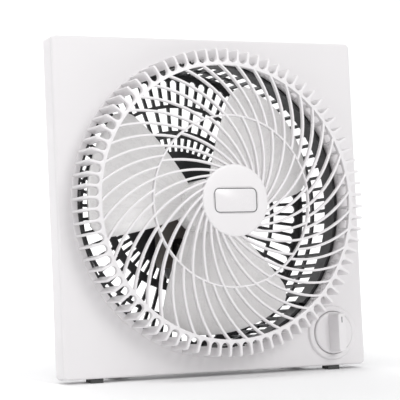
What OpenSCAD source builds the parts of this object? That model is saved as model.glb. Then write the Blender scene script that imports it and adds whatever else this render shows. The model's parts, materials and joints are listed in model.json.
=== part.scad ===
// Table-top box fan: a square moulded panel with a domed grille of swept ribs,
// a three-blade propeller on a shaded-pole motor and a basket guard behind.
// Millimetres. X to the right, Z up, the front faces -Y.

/* [Body] */
// Width of the square front panel
body_w = 300; // [296:1:360]
// Depth of the panel's side
body_d = 18.5; // [18:0.5:30]
// Wall thickness of the moulded shells
wall = 2.4; // [2:0.1:3]
// Radius of the panel's corners
corner_r = 5; // [3:0.5:12]
// Angle by which the fan leans back
lean = 6; // [3:0.5:10]
// Height of the panel's lower front edge above the floor
ride_h = 4.2; // [4:0.1:8]

/* [Grille] */
// Radius of the grille's side wall
comb_r = 137; // [136:0.5:139]
// Height of the dome's crown above the panel
dome_h = 45.6; // [42:0.1:60]
// Radius of the sphere that the dome is part of
dome_r = 640; // [560:10:900]
// Depth of the ribs
rib_d = 4.5; // [3:0.1:6]
// Thickness of a rib
rib_w = 1.9; // [1.4:0.1:2.6]
// Number of ribs between the hub and the middle ring
inner_ribs = 30; // [20:1:36]
// Number of ribs between the middle ring and the outer ring
outer_ribs = 45; // [30:1:54]
// Number of fins in the side wall
fins = 80; // [60:1:90]
// Thickness of a fin
fin_w = 2.8; // [2:0.1:3.4]
// Radius of the hub disc
hub_r = 32; // [28:0.5:38]
// Radius of the middle ring
mid_r = 76; // [65:0.5:85]
// Width of the middle ring
mid_w = 3.4; // [2.5:0.1:5]
// Radius of the outer ring
outer_r = 123; // [118:0.5:124]
// Width of the outer ring
outer_w = 4; // [3:0.1:5]

/* [Guard] */
// Inner radius of the basket
basket_r = 127.5; // [124:0.5:128]
// Depth of the basket behind the panel's front
basket_d = 75; // [72:0.5:95]
// Thickness of a guard bar
bar_w = 2.8; // [2:0.1:3.4]
// Number of bars in the outer zone and in the side wall
outer_bars = 76; // [60:1:80]
// Number of bars in the inner zone
inner_bars = 48; // [36:1:52]
// Number of vents around the motor plate
vents = 60; // [40:1:64]

/* [Propeller] */
// Radius at the blades' tips
blade_r = 117; // [105:0.5:119]
// Number of blades
blades = 3; // [3:1:4]
// Angle that one blade covers at its tip
blade_span = 66; // [50:1:80]
// Thickness of a blade
blade_t = 1.8; // [1.4:0.1:2.4]
// Radius of the propeller's hub
prop_hub_r = 24; // [20:0.5:27]

/* [Motor] */
// Diameter of the motor shaft
shaft_d = 6; // [5:0.5:8]
// Running clearance of a shaft in its bearing, on the radius
run_c = 0.04; // [0.02:0.01:0.08]
// Radius of the rotor core
rotor_r = 14.5; // [12:0.5:15]
// Gap between rotor and stator
air_gap = 0.5; // [0.4:0.1:0.8]
// Thickness of the lamination stack
stack_t = 14; // [10:0.5:15]

/* [Knob] */
// Distance of the knob from the panel's right edge
knob_in = 34.2; // [32:0.1:38]
// Height of the knob above the panel's lower edge
knob_v = 30; // [29:0.5:35]
// Radius of the knob
knob_r = 19.3; // [17:0.1:20]
// Height of the grip bar above the panel
grip_h = 20; // [17:0.5:26]
// Radius of the raised collar around the knob
collar_r = 25.2; // [24:0.1:27]
// Diameter of the switch spindle
spindle_d = 6; // [5:0.1:6.2]

/* [Feet] */
// Width of a rubber pad
pad_w = 12; // [8:0.5:16]
// Distance between the two front pads
pad_gap = 236; // [216:1:250]
// Distance between the two legs
leg_gap = 180; // [176:1:182]
// Length of a leg behind the panel's front
leg_l = 92; // [84:1:130]
// Width of a leg
leg_w = 16; // [12:0.5:20]

/* [Hidden] */
$fn = 96;
eps = 0.02;
fit_c = 0.3;
white = [0.93, 0.92, 0.92];
charcoal = [0.13, 0.13, 0.14];
steel = [0.62, 0.62, 0.64];

axis_v = body_w / 2;
shell_in = body_w - 2 * wall;
opening_r = comb_r - 3;
spigot_r = opening_r - fit_c;
knob_u = body_w / 2 - knob_in;
cover_h = -body_d + wall;
guard_out = basket_r + wall;
flange_r = guard_out + 10;
flange_t = 2.5;
screw_r = 1.5;
head_r = 3;
head_t = 1.8;

// Front panel
boss_in = 14;
boss_r = 4;
boss_hole_h = -2 * wall;
collar_h = 3;
collar_slope = 1.2;
recess_c = 0.9;
hole_c = 0.3;

// Front grille
arc_r = 109.3;
arc_c = 88.6;
rib_turn = 20.4;
rib_sink = 1;
dome_fn = 200;
hub_t = 6;
hub_chamfer = 1;
badge_w = 42.5;
badge_v = 22.6;
badge_r = 6;
badge_t = 0.8;
groove_w = 0.7;
outer_ring_out = outer_r + outer_w / 2;
comb_t = 5;
comb_round = 5;
comb_lip = 1;
slot_in = 4;
slot_step = 30;
slot_low = 1.5;
seat_h = 6;
clip_n = 4;
clip_a = 45;
clip_span = 14;
clip_out = 2.4;
clip_in = spigot_r - wall / 2;
clip_toe = 0.6;

// Rear shell
leg_screw_v = [26, 37];
leg_boss_r = 3.5;
leg_boss_t = 8;
gland_u = -112;
gland_v = 28;
gland_r = 6;
gland_lip = 2.5;
gland_clip = 1.5;
cord_r = 3.5;
free_r = screw_r + 0.3;
guard_screw_n = 4;
guard_screw_a = 22.5;
guard_screw_r = guard_out + 5.3;

// Rear guard
face_t = 2.5;
rim_h = -4;
guard_round = 4;
guard_boss_r = 4;
guard_boss_t = 6;
mount_rise = 4.5;
mount_x = 25;
mount_r = 4.5;
vent_in = 56;
vent_out = 68.5;
band_in = 75.5;
band_out = 97;
outer_in = 100;
outer_out = guard_out - 10;
cut_over = 1;
wall_over = 2;
side_top = -22;
side_mid = -46;
side_band = 4;
side_low = -basket_d + 6;
lead_gap = 5;
lead_notch = 9;
pilot_left = 1;
tip_left = 1.5;
mount_h = -basket_d + face_t + mount_rise;

// Motor
plate_t = 1.5;
sleeve_h = 4.5;
front_sleeve_h = 7;
sleeve_r = 3.5;
mount_screw_r = 1.75;
mount_hole_r = 2;
rear_plate_h = mount_h + plate_t;
stack_back = rear_plate_h + sleeve_h;
stack_front = stack_back + stack_t;
front_plate_h = stack_front + front_sleeve_h;
bush_out = 5;
bush_l = 7.8;
cup_r = 8;
washer_t = 1;
stator_r = rotor_r + air_gap;
stack_w = 62;
stack_top = 25;
limb_w = 11;
window_top = -27;
window_low = -42;
limb_low = -54;
coil_w = 33;
coil_grow = 7;
bobbin_t = 1.5;
plate_w = 60;
plate_v = 18;
cup_rim = 2;
front_rim = 1;
core_round = 4;
coil_round = 5;
bobbin_round = 1;
bobbin_lip = 1;
plate_round = 1;
thread_r = shaft_d / 2 - 0.5;
thread_l = 5;
washer_w = 2;
slack = 0.1;
motor_head_r = 3.2;
motor_head_t = 2;
limb_v = (window_low + limb_low) / 2;
limb_h = window_low - limb_low;
stack_mid = (stack_back + stack_front) / 2;
fuse_r = 2;
fuse_l = 16;
rear_bush_h = stack_back - washer_t - bush_l - 2 * slack;
front_bush_h = stack_front + washer_t + 2 * slack;

// Propeller
prop_gap = 7.5;
prop_back = front_plate_h + plate_t + prop_gap;
prop_d = 22;
prop_wall = 2;
prop_boss_r = 7;
blade_mid = 14;
blade_rise = 10;
blade_cells = 8;
root_span = 86;
blade_sweep = 2;
blade_turn = 159;
blade_belly = 3;
tip_round = 0.16;
tip_cut = 0.3;
nut_r = 8;
nut_tip_r = 5;
nut_rim = 4;
nut_cone = 3.5;

// Stand legs and pads
leg_top = 17;
leg_foot = 3;
leg_flange = 3;
leg_plate_v = 42;
leg_neck_v = 20;
leg_neck_h = -48.5;
pad_l = 12;
front_pad_h = -15;
rear_pad_h = -leg_l + 2;

// Speed knob and switch
disc_gap = 0.6;
disc_h = 5;
grip_r = knob_r - 1.3;
grip_sink = 1;
grip_base = 11;
grip_front = 7.4;
mark_w = 1;
mark_l = 5.5;
mark_in = 8.5;
mark_d = 0.4;
bush_r = 4.5;
bush_h = 3.2;
nut_af = 12;
nut_h = 2.2;
cavity_r = 9;
cavity_h = 3.8;
spindle_tip = grip_h - 5;
flat_x = 2;
flat_h = 5;
switch_r = 13;
switch_h = 12;
switch_back_h = -wall - switch_h;
switch_floor = 2;
tab_a = [100, 140, 200, 240];
tab_l = 5;
tab_w = 4.8;
tab_t = 0.8;
tab_h = -9.5;
tab_root = 3;
lead_tab_a = 140;

// Power inlet and inner lead
lead_r = 1.6;
lead_sides = 8;
tab_reach = switch_r + tab_l;
lead_u = knob_u + tab_reach * cos(lead_tab_a);
lead_v = knob_v + tab_reach * sin(lead_tab_a) - axis_v;
lead_a = atan2(lead_v, lead_u);
lead_start = norm([lead_u, lead_v]) - 0.3;
lead_side = basket_r - 2.2;
lead_low = -basket_d + 4.3;
// Radius and height of the lead while it runs straight towards the fan's axis
lead_radial = [[lead_start, tab_h], [lead_start - 6, tab_h], [lead_side + 9, tab_h],
    [lead_side + 4, tab_h - 0.2], [lead_side + 1.6, tab_h - 1.2], [lead_side + 0.3, tab_h - 3.2],
    [lead_side, tab_h - 7], [lead_side, tab_h - 20], [lead_side, lead_low + 20],
    [lead_side - 0.1, lead_low + 7], [lead_side - 1.3, lead_low + 2.8], [lead_side - 4.3, lead_low + 0.6],
    [lead_side - 9, lead_low], [lead_side - 25, lead_low], [lead_side - 42, lead_low], [74, lead_low]];
// Its last bend, across the panel and up to the coil's bobbin
lead_end_u = coil_w / 2 + bobbin_t + 0.05;
lead_end = [[44.5, -50.2, lead_low], [38, -48.6, lead_low], [31, -48.4, lead_low + 0.4],
    [lead_end_u + 7, -48.8, lead_low + 2.3], [lead_end_u + 3, -49, lead_low + 4.2],
    [lead_end_u, -49, lead_low + 4.2]];

// Where the fan stands: the origin is the middle of its outline, on the floor
front_y = axis_v * sin(lean) - (dome_h - dome_r) * cos(lean) - dome_r;
rear_y = (axis_v + guard_out) * sin(lean) + basket_d * cos(lean);
leg_y = leg_l * cos(lean) + leg_top * sin(lean);
base_y = -(front_y + max(rear_y, leg_y)) / 2;
base_z = ride_h;

// Places a part drawn in the panel's own plane (x across, y up, z forwards)
module lean_back() translate([0, base_y, base_z]) rotate([90 - lean, 0, 0]) children();
// The same, centred on the fan's axis
module on_axis() lean_back() translate([0, axis_v, 0]) children();
// Square outline with round corners, centred
module rounded(w, h, r) {
    square([w - 2 * r, h], center = true);
    square([w, h - 2 * r], center = true);
    for (x = [-1, 1], y = [-1, 1])
        translate([x * (w / 2 - r), y * (h / 2 - r)]) circle(r = r);
}
// Cylinder between two heights
module post(r, z0, z1) translate([0, 0, z0]) cylinder(r = r, h = z1 - z0);
// Flat ring between two heights
module ring(r0, r1, z0, z1) difference() {
    post(r1, z0, z1);
    post(r0, z0 - eps, z1 + eps);
}
// Lifts out what lies between two heights above the floor
module slab(z0, z1) translate([-body_w, -body_w, z0]) cube([2 * body_w, 2 * body_w, z1 - z0]);

// ---- Front panel ----
module at_corners() for (x = [-1, 1], v = [boss_in, body_w - boss_in])
    translate([x * (body_w / 2 - boss_in), v, 0]) children();
module at_knob() translate([knob_u, knob_v, 0]) children();
module front_panel() color(white) lean_back() difference() {
    union() {
        difference() {
            translate([0, body_w / 2, -body_d])
                linear_extrude(body_d) rounded(body_w, body_w, corner_r);
            translate([0, body_w / 2, -body_d - eps])
                linear_extrude(body_d - wall + eps) rounded(shell_in, shell_in, corner_r - wall);
        }
        at_corners() post(boss_r, cover_h, -wall + eps);
        at_knob() translate([0, 0, -eps])
            cylinder(r1 = collar_r, r2 = collar_r - collar_slope, h = collar_h + eps);
    }
    translate([0, axis_v, 0]) post(opening_r, -body_d, collar_h);
    at_corners() post(screw_r, cover_h - eps, boss_hole_h);
    at_knob() {
        post(knob_r + recess_c, 0, collar_h + eps);
        post(bush_r + hole_c, -body_d, collar_h);
    }
}

// ---- Front grille ----
// A rib is an arc of a circle of radius arc_r whose centre lies arc_c from the fan's axis
// Angle at the fan's axis between the arc's centre and its crossing of radius r
function cross_a(r) = acos((r * r + arc_c * arc_c - arc_r * arc_r) / (2 * r * arc_c));
// Angle of the same crossing seen from the arc's own centre
function own_a(r) = atan2(-r * sin(cross_a(r)), r * cos(cross_a(r)) - arc_c);
// Height of the dome's outside above the panel at radius r
function dome_z(r) = dome_h - dome_r + sqrt(dome_r * dome_r - r * r);
// The dome's wall, between two spheres about one centre
module dome_wall() translate([0, 0, dome_h - dome_r]) difference() {
    sphere(r = dome_r, $fn = dome_fn);
    sphere(r = dome_r - rib_d, $fn = dome_fn);
}
// One swept rib, before its front and back are cut to the dome
module rib(r0, r1) rotate([0, 0, rib_turn + cross_a(mid_r)]) translate([arc_c, 0, 0])
    rotate([0, 0, own_a(r0)]) rotate_extrude(angle = own_a(r1) - own_a(r0))
        translate([arc_r - rib_w / 2, dome_h / 2]) square([rib_w, dome_h]);
// A whole turn of ribs between two radii
module ribs(count, r0, r1) for (i = [0 : count - 1]) rotate([0, 0, i * 360 / count]) intersection() {
    dome_wall();
    rib(r0, r1);
}
// A ring of the grille, flush with the dome
module grille_ring(r, w) rotate_extrude() polygon([
    [r - w / 2, dome_z(r) - rib_d], [r + w / 2, dome_z(r) - rib_d],
    [r + w / 2, dome_z(r) - w / 4], [r + w / 4, dome_z(r)],
    [r - w / 4, dome_z(r)], [r - w / 2, dome_z(r) - w / 4]]);
module badge_plate(grow, t) translate([0, 0, dome_h - t])
    linear_extrude(t + grow) rounded(badge_w + 2 * grow, badge_v + 2 * grow, badge_r + grow);
module front_grille() color(white) on_axis() {
    difference() {
        rotate_extrude() polygon([[0, dome_h - hub_t], [hub_r, dome_h - hub_t],
            [hub_r, dome_h - hub_chamfer], [hub_r - hub_chamfer, dome_h], [0, dome_h]]);
        badge_plate(groove_w, badge_t);
    }
    ribs(inner_ribs, hub_r - rib_sink, mid_r);
    ribs(outer_ribs, mid_r, outer_r);
    grille_ring(mid_r, mid_w);
    grille_ring(outer_r, outer_w);
}
// Side wall of the grille: a revolved band cut into fins, with a ring that seats in the panel
module comb_profile() polygon([
    [outer_ring_out, dome_z(outer_r) - rib_d], [comb_r - comb_t - comb_lip, dome_z(outer_r) - rib_d],
    [comb_r - comb_t, dome_z(outer_r) - rib_d - comb_lip], [comb_r - comb_t, 0],
    [spigot_r - wall, 0], [spigot_r - wall, -seat_h], [spigot_r, -seat_h], [spigot_r, 0],
    [comb_r, 0], [comb_r, dome_z(outer_r) - 1.6 * comb_round],
    [comb_r - 0.3 * comb_round, dome_z(outer_r) - 0.7 * comb_round],
    [comb_r - comb_round, dome_z(outer_r) - 0.2 * comb_round],
    [outer_ring_out, dome_z(outer_r) - 0.2]]);
// Outline of the gap between two bars of a wheel of count bars, each w thick
function gap_x(r, count, w) = r * cos(180 / count) + w / 2 * sin(180 / count);
function gap_y(r, count, w) = r * sin(180 / count) - w / 2 * cos(180 / count);
module gap(r0, r1, count, w) polygon([
    [gap_x(r0, count, w), -gap_y(r0, count, w)], [gap_x(r1, count, w), -gap_y(r1, count, w)],
    [gap_x(r1, count, w), gap_y(r1, count, w)], [gap_x(r0, count, w), gap_y(r0, count, w)]]);
module gap_round(r, count, w) translate([gap_x(r, count, w), 0]) circle(r = gap_y(r, count, w), $fn = 24);
// The same gap with a round inner end, drawn with straight edges
module slot(r0, r1, count, w) polygon(concat(
    [[gap_x(r1, count, w), -gap_y(r1, count, w)], [gap_x(r1, count, w), gap_y(r1, count, w)]],
    [for (a = [90 : slot_step : 270])
        [gap_x(r0, count, w) + gap_y(r0, count, w) * cos(a), gap_y(r0, count, w) * sin(a)]]));
module grille_comb() color(white) on_axis() {
    difference() {
        rotate_extrude() comb_profile();
        for (i = [0 : fins - 1]) rotate([0, 0, i * 360 / fins]) translate([0, 0, slot_low])
            linear_extrude(dome_h) slot(outer_ring_out + slot_in, comb_r + slot_in, fins, fin_w);
    }
    for (i = [0 : clip_n - 1]) rotate([0, 0, clip_a + i * 360 / clip_n]) rotate_extrude(angle = clip_span)
        polygon([[clip_in, -seat_h + clip_toe], [spigot_r + clip_out, -wall - fit_c],
                 [clip_in, -wall - fit_c]]);
}
module hub_badge() color([0.9, 0.89, 0.89]) on_axis() badge_plate(0, badge_t);

// ---- Rear shell: closes the panel's back and carries the guard and the legs ----
module at_leg_screws() for (x = [-1, 1], v = leg_screw_v)
    translate([x * leg_gap / 2, v, 0]) children();
module at_guard_screws() for (i = [0 : guard_screw_n - 1])
    rotate([0, 0, guard_screw_a + i * 360 / guard_screw_n]) translate([guard_screw_r, 0, 0]) children();
module rear_shell() color(white) lean_back() difference() {
    union() {
        translate([0, body_w / 2, -body_d]) linear_extrude(wall)
            rounded(shell_in - 2 * fit_c, shell_in - 2 * fit_c, corner_r - wall);
        at_leg_screws() post(leg_boss_r, cover_h - eps, cover_h + leg_boss_t);
    }
    translate([0, axis_v, 0]) post(guard_out + fit_c, -body_d - eps, 0);
    at_corners() post(free_r, -body_d - eps, 0);
    at_leg_screws() post(screw_r, -body_d - eps, 0);
    translate([0, axis_v, 0]) at_guard_screws() post(free_r, -body_d - eps, 0);
    translate([gland_u, gland_v, 0]) post(gland_r, -body_d - eps, 0);
}

// ---- Rear guard: a basket with a slotted face and a slotted side wall ----
module at_mounts() for (x = [-1, 1]) translate([x * mount_x, 0, 0]) children();
module wheel(count, r0, r1, z0, z1) for (i = [0 : count - 1])
    rotate([0, 0, i * 360 / count]) translate([0, 0, z0]) linear_extrude(z1 - z0) gap(r0, r1, count, bar_w);
module face_wheel(count, r0, r1)
    wheel(count, r0, r1, -basket_d - cut_over, -basket_d + face_t + cut_over);
module side_wheel(z0, z1) wheel(outer_bars, basket_r - wall_over, guard_out + wall_over, z0, z1);
module rear_guard() color(charcoal) on_axis() difference() {
    union() {
        difference() {
            rotate_extrude() polygon([[0, -basket_d], [guard_out - guard_round, -basket_d],
                [guard_out, -basket_d + guard_round], [guard_out, rim_h], [basket_r, rim_h],
                [basket_r, -basket_d + face_t + guard_round / 2],
                [basket_r - guard_round / 2, -basket_d + face_t], [0, -basket_d + face_t]]);
            for (i = [0 : outer_bars - 1]) rotate([0, 0, i * 360 / outer_bars])
                translate([0, 0, -basket_d - cut_over])
                    linear_extrude(face_t + 2 * cut_over) {
                        gap(outer_in, outer_out, outer_bars, bar_w);
                        gap_round(outer_out, outer_bars, bar_w);
                    }
            face_wheel(inner_bars, band_in, band_out);
            face_wheel(vents, vent_in, vent_out);
            side_wheel(side_mid, side_top);
            side_wheel(side_low, side_mid - side_band);
        }
        ring(guard_out - eps, flange_r, cover_h, cover_h + flange_t);
        at_guard_screws() post(guard_boss_r, cover_h, cover_h + guard_boss_t);
        at_mounts() post(mount_r, -basket_d + face_t - eps, mount_h);
    }
    at_mounts() post(mount_screw_r, -basket_d + pilot_left, mount_h + eps);
    at_guard_screws() post(screw_r, cover_h - eps, cover_h + guard_boss_t - pilot_left);
    rotate([0, 0, lead_a]) translate([basket_r - wall_over, -lead_gap / 2, rim_h - lead_notch])
        cube([flange_r, lead_gap, lead_notch + eps]);
}

// ---- Stand legs and pads ----
module leg(side) difference() {
    lean_back() translate([side * leg_gap / 2 - leg_w / 2, 0, 0]) rotate([90, 0, 90])
        linear_extrude(leg_w) polygon([[-leg_top, -body_d], [leg_plate_v, -body_d],
            [leg_plate_v, -body_d - leg_flange], [leg_neck_v, -body_d - leg_flange],
            [leg_top, leg_neck_h], [leg_top, -leg_l], [-leg_top, -leg_l]]);
    slab(-body_w / 2, leg_foot);
    lean_back() at_leg_screws() post(free_r, -body_d - leg_flange - eps, -body_d + eps);
}
module left_leg() color(white) leg(-1);
module right_leg() color(white) leg(1);
// A pair of pads, cut level with the floor and with what they sit under
module pads(gap, z, v_top, top) intersection() {
    lean_back() for (x = [-1, 1])
        translate([x * gap / 2 - pad_w / 2, -leg_top, z]) cube([pad_w, leg_top + v_top, pad_l]);
    slab(0, top);
}
module front_feet() color([0.07, 0.07, 0.07]) pads(pad_gap, front_pad_h, 0, 2 * ride_h);
module rear_feet() color([0.07, 0.07, 0.07]) pads(leg_gap, rear_pad_h, leg_top, leg_foot);

// ---- Propeller ----
// Radius, direction and height of a point of the blade: s runs from root to tip, t across it from -1 to 1
function blade_rad(s) = prop_hub_r - prop_wall / 2 + s * (blade_r - prop_hub_r + prop_wall / 2);
function blade_half(s) = (root_span + (blade_span - root_span) * s) / 2
    * (s > 1 - tip_round ? sqrt(1 - tip_cut * pow((s - 1 + tip_round) / tip_round, 2)) : 1);
function blade_dir(s, t) = blade_sweep * s + t * blade_half(s);
function blade_lift(s, t) = blade_mid + blade_rise * t * (4 + s) / 5 + blade_belly * s * (1 - t * t);
function blade_pt(s, t, dz) = [blade_rad(s) * cos(blade_dir(s, t)), blade_rad(s) * sin(blade_dir(s, t)),
    blade_lift(s, t) + dz];
module blade() {
    n = blade_cells;
    m = n + 1;
    pts = [for (k = [0, 1], i = [0 : n], j = [0 : n])
        blade_pt(i / n, 2 * j / n - 1, (k - 0.5) * blade_t)];
    function id(k, i, j) = k * m * m + i * m + j;
    tops = [for (i = [0 : n - 1], j = [0 : n - 1], f = [0, 1]) f == 0
        ? [id(1, i, j), id(1, i, j + 1), id(1, i + 1, j)]
        : [id(1, i, j + 1), id(1, i + 1, j + 1), id(1, i + 1, j)]];
    lows = [for (i = [0 : n - 1], j = [0 : n - 1], f = [0, 1]) f == 0
        ? [id(0, i, j), id(0, i + 1, j), id(0, i, j + 1)]
        : [id(0, i, j + 1), id(0, i + 1, j), id(0, i + 1, j + 1)]];
    sides = [for (i = [0 : n - 1], f = [0, 1]) each f == 0
        ? [[id(0, i, 0), id(1, i, 0), id(1, i + 1, 0)], [id(0, i, 0), id(1, i + 1, 0), id(0, i + 1, 0)]]
        : [[id(0, i, n), id(1, i + 1, n), id(1, i, n)], [id(0, i, n), id(0, i + 1, n), id(1, i + 1, n)]]];
    ends = [for (j = [0 : n - 1], f = [0, 1]) each f == 0
        ? [[id(0, 0, j), id(1, 0, j + 1), id(1, 0, j)], [id(0, 0, j), id(0, 0, j + 1), id(1, 0, j + 1)]]
        : [[id(0, n, j), id(1, n, j), id(1, n, j + 1)], [id(0, n, j), id(1, n, j + 1), id(0, n, j + 1)]]];
    polyhedron(points = pts, faces = concat(tops, lows, sides, ends), convexity = 4);
}
module fan_blade() color([0.84, 0.84, 0.85]) on_axis() translate([0, 0, prop_back]) difference() {
    union() {
        difference() {
            post(prop_hub_r, 0, prop_d);
            post(prop_hub_r - prop_wall, -eps, prop_d - wall);
        }
        post(prop_boss_r, 0, prop_d);
        for (i = [0 : blades - 1]) rotate([0, 0, blade_turn + i * 360 / blades]) blade();
    }
    post(shaft_d / 2, -eps, prop_d + eps);
}
module blade_nut() color(charcoal) on_axis() translate([0, 0, prop_back + prop_d]) difference() {
    union() {
        post(nut_r, 0, nut_rim);
        translate([0, 0, nut_rim]) cylinder(r1 = nut_r, r2 = nut_tip_r, h = nut_cone);
    }
    post(thread_r, -eps, thread_l);
}

// ---- Motor: a shaded-pole stack with its coil on the lower limb ----
module stator_core() color(steel) on_axis() translate([0, 0, stack_back]) linear_extrude(stack_t)
    difference() {
        translate([0, (stack_top + limb_low) / 2]) rounded(stack_w, stack_top - limb_low, core_round);
        circle(r = stator_r);
        translate([-stack_w / 2 + limb_w, window_low])
            square([stack_w - 2 * limb_w, window_top - window_low]);
        at_mounts() circle(r = mount_hole_r);
    }
// Block around the lower limb, w long and grown by g on its other sides
module limb_block(w, g, r) translate([-w / 2, limb_v, stack_mid]) rotate([90, 0, 90])
    linear_extrude(w) rounded(limb_h + 2 * g, stack_t + 2 * g, r);
module stator_coil() color([0.72, 0.45, 0.2]) on_axis() difference() {
    limb_block(coil_w, coil_grow + bobbin_t, coil_round);
    limb_block(coil_w + bobbin_t, bobbin_t, bobbin_round);
}
module coil_bobbin() color([0.1, 0.1, 0.1]) on_axis() difference() {
    union() {
        limb_block(coil_w, bobbin_t, bobbin_round);
        for (x = [-1, 1]) translate([x * (coil_w + bobbin_t) / 2, 0, 0])
            limb_block(bobbin_t, coil_grow + bobbin_t + bobbin_lip, coil_round);
    }
    limb_block(coil_w + 4 * bobbin_t, fit_c / 2, fit_c);
}
module thermal_fuse() color([0.85, 0.82, 0.7]) on_axis()
    translate([-fuse_l / 2, limb_low - bobbin_t - coil_grow - fuse_r, stack_mid]) rotate([0, 90, 0])
        cylinder(r = fuse_r, h = fuse_l);
module bracket(z, cup0, cup1, sleeve0, sleeve1) difference() {
    union() {
        translate([0, 0, z]) linear_extrude(plate_t) rounded(plate_w, plate_v, plate_v / 2 - plate_round);
        post(cup_r, cup0, cup1);
        at_mounts() post(sleeve_r, sleeve0, sleeve1);
    }
    post(bush_out, cup0 - eps, cup1 + eps);
    at_mounts() post(mount_hole_r, min(z, sleeve0) - eps, max(z + plate_t, sleeve1) + eps);
}
module rear_bracket() color(steel) on_axis()
    bracket(mount_h, rear_bush_h, rear_plate_h + cup_rim, rear_plate_h - eps, stack_back);
module front_bracket() color(steel) on_axis()
    bracket(front_plate_h, front_bush_h, front_plate_h + plate_t + front_rim,
            stack_front, front_plate_h + eps);
module bushing(z) difference() {
    post(bush_out, z, z + bush_l);
    post(shaft_d / 2 + run_c, z - eps, z + bush_l + eps);
}
module rear_bushing() color([0.7, 0.55, 0.3]) on_axis() bushing(rear_bush_h);
module front_bushing() color([0.7, 0.55, 0.3]) on_axis() bushing(front_bush_h);
module thrust_washers() color([0.9, 0.9, 0.85]) on_axis() {
    ring(shaft_d / 2, shaft_d / 2 + washer_w, stack_back - washer_t - slack, stack_back - slack);
    ring(shaft_d / 2, shaft_d / 2 + washer_w, stack_front + slack, stack_front + washer_t + slack);
}
module rotor_core() color([0.75, 0.75, 0.77]) on_axis()
    ring(shaft_d / 2, rotor_r, stack_back - slack, stack_front + slack);
module motor_shaft() color(steel) on_axis() {
    post(shaft_d / 2, rear_bush_h + slack, prop_back + prop_d);
    post(thread_r, prop_back + prop_d - eps, prop_back + prop_d + thread_l);
}
module motor_screws() color(steel) on_axis() at_mounts() {
    post(mount_screw_r, -basket_d + tip_left, front_plate_h + plate_t + motor_head_t / 2);
    post(motor_head_r, front_plate_h + plate_t, front_plate_h + plate_t + motor_head_t);
}

// ---- Case screws, driven from behind ----
module back_screw(z_head, z_tip) {
    post(screw_r, z_head - head_t / 2, z_tip);
    post(head_r, z_head - head_t, z_head);
}
module panel_screws() color(steel) lean_back() at_corners() back_screw(-body_d, boss_hole_h - pilot_left);
module guard_screws() color(steel) on_axis() at_guard_screws()
    back_screw(-body_d, cover_h + guard_boss_t - tip_left);
module leg_screws() color(steel) lean_back() at_leg_screws()
    back_screw(-body_d - leg_flange, cover_h + leg_boss_t - pilot_left);

// ---- Speed knob and switch ----
module spindle_bar(r, z0, z1) difference() {
    post(r, z0, z1);
    translate([flat_x, -2 * r, flat_h]) cube([2 * r, 4 * r, z1 - flat_h + eps]);
}
module speed_knob() color(white) lean_back() at_knob() difference() {
    union() {
        post(knob_r, disc_gap, disc_h);
        intersection() {
            post(grip_r, disc_h - grip_sink, grip_h);
            rotate([90, 0, 0]) translate([0, 0, -grip_r]) linear_extrude(2 * grip_r) polygon([
                [-grip_base / 2, disc_h - grip_sink], [grip_base / 2, disc_h - grip_sink],
                [grip_front / 2, grip_h], [-grip_front / 2, grip_h]]);
        }
    }
    post(cavity_r, disc_gap - eps, cavity_h);
    spindle_bar(spindle_d / 2, cavity_h - eps, spindle_tip);
    translate([-mark_w / 2, mark_in, grip_h - mark_d]) cube([mark_w, mark_l, mark_d + eps]);
}
module terminals() for (a = tab_a) rotate([0, 0, a])
    translate([switch_r - tab_root, -tab_w / 2, tab_h - tab_t / 2]) cube([tab_l + tab_root, tab_w, tab_t]);
module switch_body() color([0.2, 0.2, 0.2]) lean_back() at_knob() difference() {
    union() {
        post(switch_r, switch_back_h, -wall);
        post(bush_r, -wall - eps, bush_h);
    }
    post(spindle_d / 2 + run_c, switch_back_h + switch_floor, bush_h + eps);
    terminals();
}
module switch_spindle() color(steel) lean_back() at_knob()
    spindle_bar(spindle_d / 2, switch_back_h + switch_floor + slack, spindle_tip);
module switch_nut() color(steel) lean_back() at_knob() difference() {
    cylinder(d = nut_af / cos(30), h = nut_h, $fn = 6);
    post(bush_r, -eps, nut_h + eps);
}
module switch_terminals() color([0.8, 0.8, 0.78]) lean_back() at_knob() terminals();

// ---- Power inlet and inner lead ----
module cord_grommet() color([0.08, 0.08, 0.08]) lean_back() translate([gland_u, gland_v, 0]) difference() {
    union() {
        post(gland_r + gland_lip, -body_d - gland_lip, -body_d);
        post(gland_r, -body_d - eps, cover_h + eps);
        post(gland_r + gland_clip, cover_h, cover_h + gland_clip);
    }
    post(cord_r, -body_d - gland_lip - eps, cover_h + gland_clip + eps);
}
function unit(v) = v / norm(v);
function route_dir(p, i) = unit(p[min(i + 1, len(p) - 1)] - p[max(i - 1, 0)]);
module tube(p, side_v, r, sides) {
    rings = [for (i = [0 : len(p) - 1])
        let (d = route_dir(p, i), a = unit(cross(d, side_v)), b = cross(d, a))
        for (k = [0 : sides - 1]) p[i] + r * cos(k * 360 / sides) * a + r * sin(k * 360 / sides) * b];
    walls = [for (i = [0 : len(p) - 2], k = [0 : sides - 1], f = [0, 1])
        let (k2 = (k + 1) % sides, q = i * sides, w = q + sides)
        f == 0 ? [q + k, q + k2, w + k] : [q + k2, w + k2, w + k]];
    polyhedron(points = rings, faces = concat(walls, [[for (k = [sides - 1 : -1 : 0]) k]],
        [[for (k = [0 : sides - 1]) (len(p) - 1) * sides + k]]), convexity = 6);
}
module motor_lead() color([0.1, 0.1, 0.1]) on_axis() tube(
    concat([for (q = lead_radial) [q[0] * cos(lead_a), q[0] * sin(lead_a), q[1]]], lead_end),
    [-sin(lead_a), cos(lead_a), 0], lead_r, lead_sides);

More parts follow.
